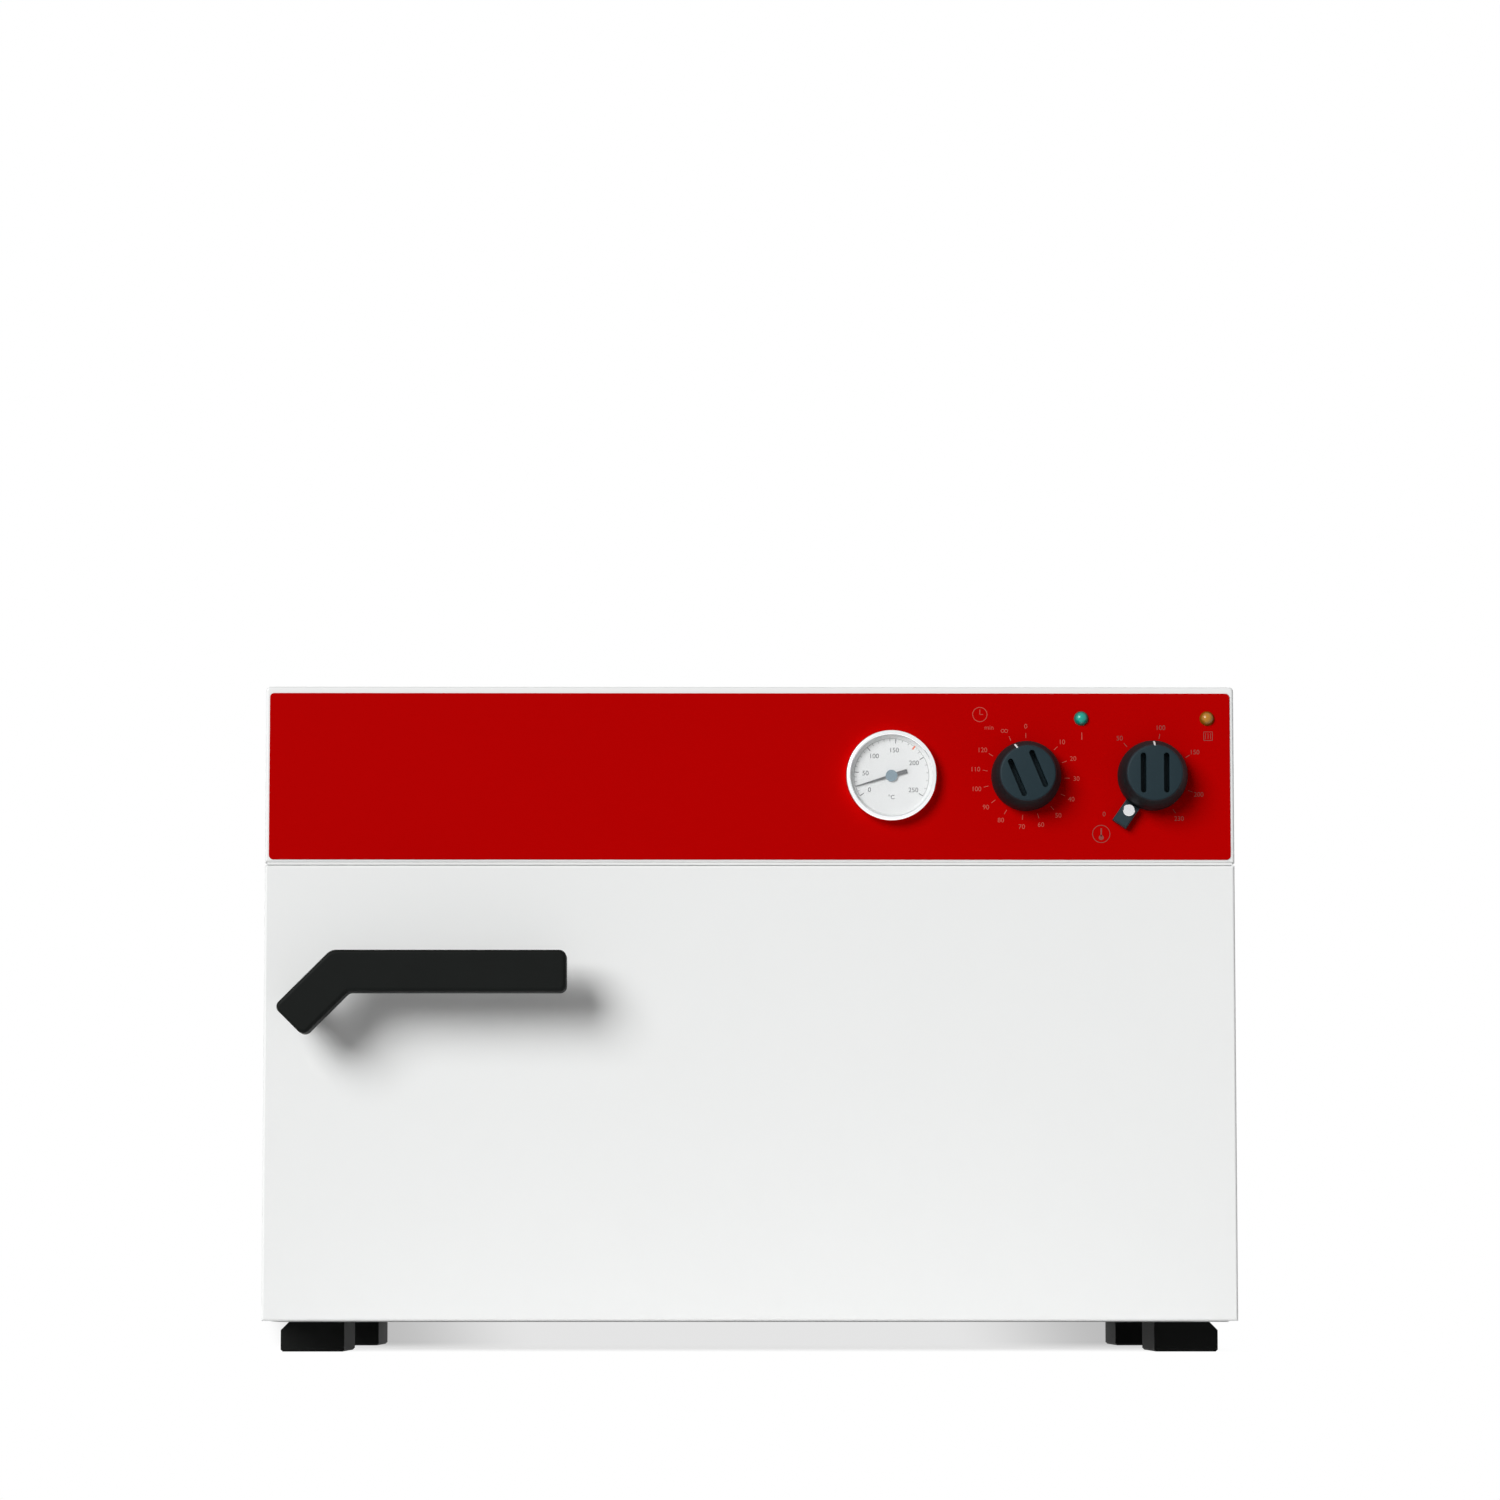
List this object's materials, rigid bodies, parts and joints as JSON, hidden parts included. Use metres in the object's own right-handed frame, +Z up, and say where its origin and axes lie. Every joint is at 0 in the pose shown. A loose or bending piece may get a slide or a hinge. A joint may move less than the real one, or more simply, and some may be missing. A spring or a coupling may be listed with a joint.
{
  "type": "laboratory drying oven",
  "caption": "Benchtop laboratory drying oven: white housing, red control fascia with dial thermometer and knobs, side-hinged door with a black cranked handle.",
  "frame": {"origin": "on the floor under the middle of the whole outline", "axes": "+Z up, +X to the oven's right seen from the front, -Y towards the user"},
  "size_m": [0.58, 0.515, 0.398],
  "materials": {
    "housing_enamel": "gloss",
    "frame_enamel": "satin",
    "foil_red": "satin",
    "stainless": "satin",
    "rack_wire": "polished",
    "zinc": "satin",
    "heater_tube": "matte",
    "black_plastic": "satin",
    "knob_plastic": "satin",
    "bearing_plastic": "satin",
    "terminal_plastic": "matte",
    "silicone": "matte",
    "mineral_wool": "matte",
    "bezel_chrome": "polished",
    "dial_white": "matte",
    "pointer_grey": "satin",
    "lens_glass": "gloss",
    "gauge_brass": "satin",
    "lamp_green": "gloss",
    "lamp_amber": "gloss"
  },
  "bodies": {
    "housing": {"feet": "black_plastic", "foot_screws": "zinc", "outer_casing": "housing_enamel", "base_plate": "frame_enamel", "rear_panel": "housing_enamel", "rear_screws": "zinc", "front_frame": "frame_enamel", "control_fascia": "housing_enamel", "panel_foil": "foil_red", "pilot_lamp_green": "lamp_green", "pilot_lamp_amber": "lamp_amber", "lamp_holders": "black_plastic", "thermometer_case": "stainless", "thermometer_bezel": "bezel_chrome", "thermometer_lens": "lens_glass", "thermometer_dial": "dial_white", "thermometer_movement": "gauge_brass", "thermometer_sensor": "gauge_brass", "timer_mechanism": "zinc", "thermostat_body": "zinc", "thermostat_sensor": "gauge_brass", "inner_chamber": "stainless", "chamber_insulation": "mineral_wool", "heater_element": "heater_tube", "floor_deflector": "stainless", "rack_rail_left": "stainless", "rack_rail_right": "stainless", "rack_lower": "rack_wire", "rack_upper": "rack_wire", "hinge_arm_lower": "zinc", "hinge_plate_upper": "zinc", "hinge_pins": "zinc", "latch_keeper": "zinc", "keeper_pad": "bearing_plastic", "door_gasket": "silicone", "exhaust_duct": "stainless", "mains_inlet": "black_plastic", "inlet_pins": "gauge_brass", "terminal_block": "terminal_plastic"},
    "door": {"door_skin": "housing_enamel", "door_inner_panel": "stainless", "door_insulation": "mineral_wool", "door_panel_screws": "zinc", "hinge_bushes": "bearing_plastic", "spindle_bush": "bearing_plastic", "handle_rosette": "black_plastic"},
    "handle": {"door_handle": "black_plastic", "handle_spindle": "zinc", "latch_cam": "zinc", "latch_nut": "zinc"},
    "timer": {"timer_knob": "knob_plastic", "timer_shaft": "zinc"},
    "temperature": {"temperature_knob": "knob_plastic", "thermostat_shaft": "zinc"},
    "limit_stop": {"limit_stop": "black_plastic", "limit_stop_screw": "zinc"},
    "pointer": {"thermometer_pointer": "pointer_grey"},
    "damper": {"damper_flap": "stainless", "damper_knob": "black_plastic"}
  },
  "joints": [
    {"name": "door_hinge", "type": "hinge", "parent": "housing", "child": "door", "pos_m": [0.275, -0.1985, 0.155], "axis": [0, 0, 1], "range_deg": [0, 110]},
    {"name": "handle_lift", "type": "hinge", "parent": "door", "child": "handle", "pos_m": [-0.267, -0.2135, 0.2065], "axis": [0, -1, 0], "range_deg": [0, 45]},
    {"name": "timer_turn", "type": "hinge", "parent": "housing", "child": "timer", "pos_m": [0.1653, -0.2135, 0.34395], "axis": [0, 1, 0], "range_deg": [0, 324.5]},
    {"name": "temperature_turn", "type": "hinge", "parent": "housing", "child": "temperature", "pos_m": [0.2407, -0.2135, 0.34395], "axis": [0, 1, 0], "range_deg": [-128.2, 147.4]},
    {"name": "limit_stop_turn", "type": "hinge", "parent": "housing", "child": "limit_stop", "pos_m": [0.2407, -0.2135, 0.34395], "axis": [0, 1, 0], "range_deg": [0, 292.8]},
    {"name": "pointer_turn", "type": "hinge", "parent": "housing", "child": "pointer", "pos_m": [0.0846, -0.2135, 0.34395], "axis": [0, 1, 0], "range_deg": [-15.7, 229.7]},
    {"name": "damper_turn", "type": "hinge", "parent": "housing", "child": "damper", "pos_m": [0, 0.2305, 0.22], "axis": [1, 0, 0], "range_deg": [0, 90]}
  ]
}
